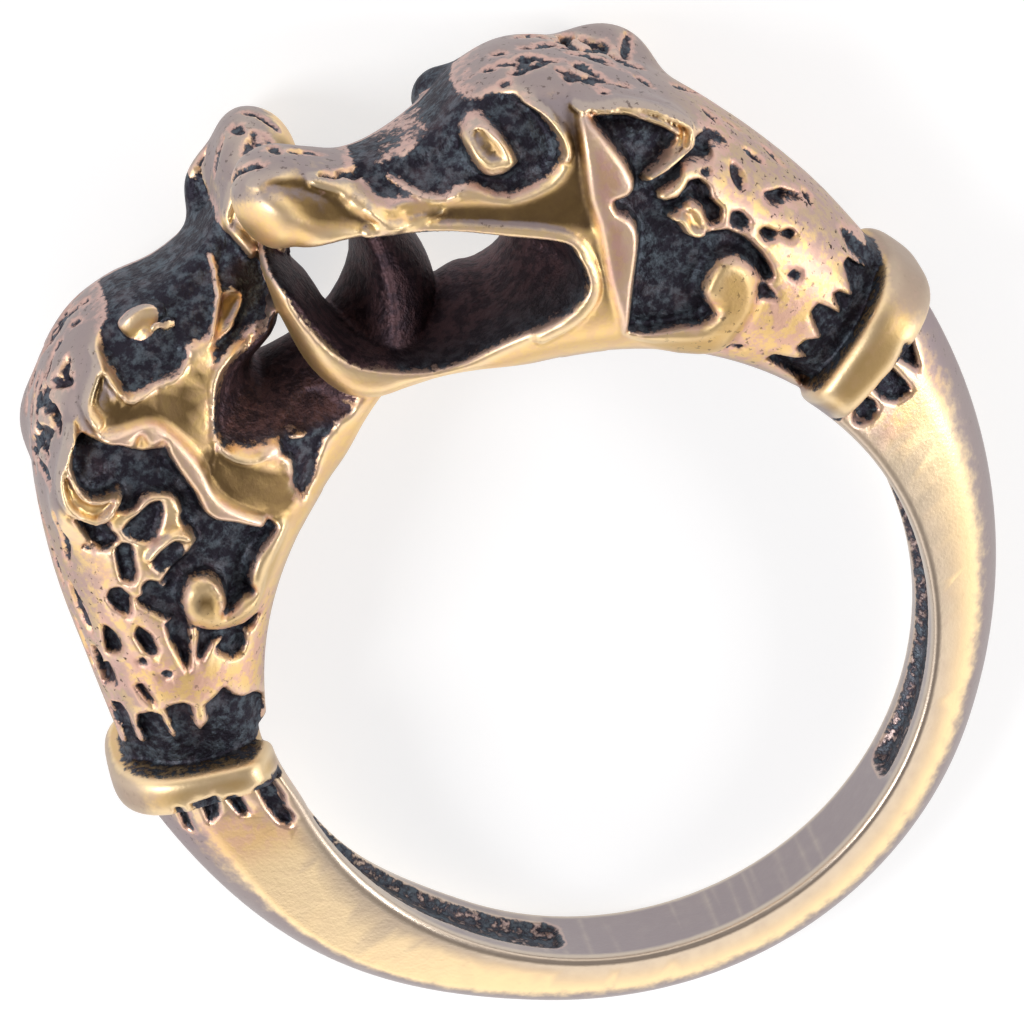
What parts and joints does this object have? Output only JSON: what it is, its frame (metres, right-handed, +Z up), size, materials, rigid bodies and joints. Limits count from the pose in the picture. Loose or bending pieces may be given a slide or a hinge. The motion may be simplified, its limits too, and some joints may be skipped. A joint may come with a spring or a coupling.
{
  "type": "wolf head ring",
  "caption": "Solid cast finger ring: a plain band that ends in wolf heads with open jaws, whose muzzles cross at the top.",
  "frame": {"origin": "middle of the finger bore, half way along its round land", "axes": "+Z up, with the ring lying on its side on both heads and the back of its band; +Y towards the heads; +X towards one head"},
  "size_m": [0.0288, 0.0319, 0.0089],
  "materials": {
    "bronze": "cast yellow bronze, polished on the high places, coppery where rubbed, blackened in the hollows"
  },
  "bodies": {
    "root": {"cast_ring": "bronze"}
  },
  "joints": []
}
